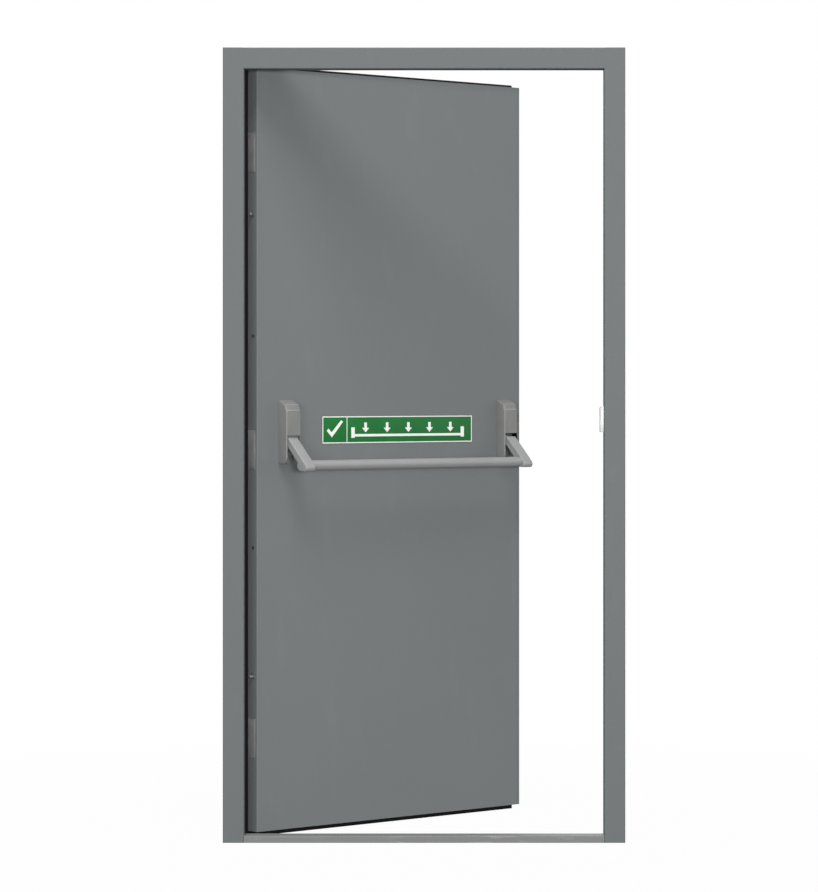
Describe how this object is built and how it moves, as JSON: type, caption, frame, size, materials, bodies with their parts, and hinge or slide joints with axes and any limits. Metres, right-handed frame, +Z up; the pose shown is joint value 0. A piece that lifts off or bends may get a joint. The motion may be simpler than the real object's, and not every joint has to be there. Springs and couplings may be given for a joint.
{
  "type": "fire exit door in its frame",
  "caption": "Single outward opening steel fire exit door in a folded steel frame, with a push bar across the leaf, a green sign, butt hinges, dog bolts and a keep.",
  "frame": {"origin": "on the wall side of the hinge jamb's indoor lip, half way up the frame", "axes": "+X along the wall from the hinge side to the lock side, +Y from indoors to outdoors, +Z up"},
  "size_m": [1.025, 0.731, 2.025],
  "materials": {
    "frame_paint": "satin grey paint on folded steel sheet",
    "threshold_paint": "satin grey paint on folded steel sheet",
    "leaf_paint": "satin grey paint on steel sheet",
    "core_board": "paper honeycomb",
    "seal_rubber": "matt black rubber",
    "hinge_steel": "satin steel",
    "zinc": "zinc plated steel",
    "keep_silver": "pale silver paint on cast metal",
    "housing_paint": "grey metallic paint on a cast cover",
    "silver_paint": "silver powder coat",
    "sign_green": "printed rigid plastic"
  },
  "bodies": {
    "frame": {"hinge_jamb": "frame_paint", "lock_jamb": "frame_paint", "head": "frame_paint", "threshold": "threshold_paint", "hinge_jamb_anchors": "zinc", "lock_jamb_anchors": "zinc", "hinge_jamb_seal": "seal_rubber", "lock_jamb_seal": "seal_rubber", "head_seal": "seal_rubber", "frame_hinge_lower": "hinge_steel", "frame_hinge_middle": "hinge_steel", "frame_hinge_upper": "hinge_steel", "keep": "keep_silver"},
    "leaf": {"leaf_top_seal": "seal_rubber", "leaf_bottom_seal": "seal_rubber", "inner_skin": "leaf_paint", "outer_skin": "leaf_paint", "leaf_top_channel": "leaf_paint", "leaf_bottom_channel": "leaf_paint", "leaf_core": "core_board", "leaf_hinge_lower": "hinge_steel", "leaf_hinge_middle": "hinge_steel", "leaf_hinge_upper": "hinge_steel", "dog_bolt_lower": "hinge_steel", "dog_bolt_upper": "hinge_steel", "latch": "zinc", "hinge_side_housing": "housing_paint", "hinge_side_chassis": "zinc", "lock_side_housing": "housing_paint", "lock_side_chassis": "zinc", "sign_plate": "sign_green"},
    "bar": {"hinge_side_arm": "silver_paint", "lock_side_arm": "silver_paint", "push_bar": "silver_paint"}
  },
  "joints": [
    {"name": "leaf_swing", "type": "hinge", "parent": "frame", "child": "leaf", "pos_m": [0.044, 0.105, 0], "axis": [0, 0, 1], "range_deg": [-42, 68]},
    {"name": "push_bar", "type": "hinge", "parent": "leaf", "child": "bar", "pos_m": [0.09515, 0.05417, 0.0165], "axis": [0.7431, 0.6691, 0], "range_deg": [0, 25], "stiffness_Nm_per_rad": 6, "springref_deg": -28.65}
  ]
}
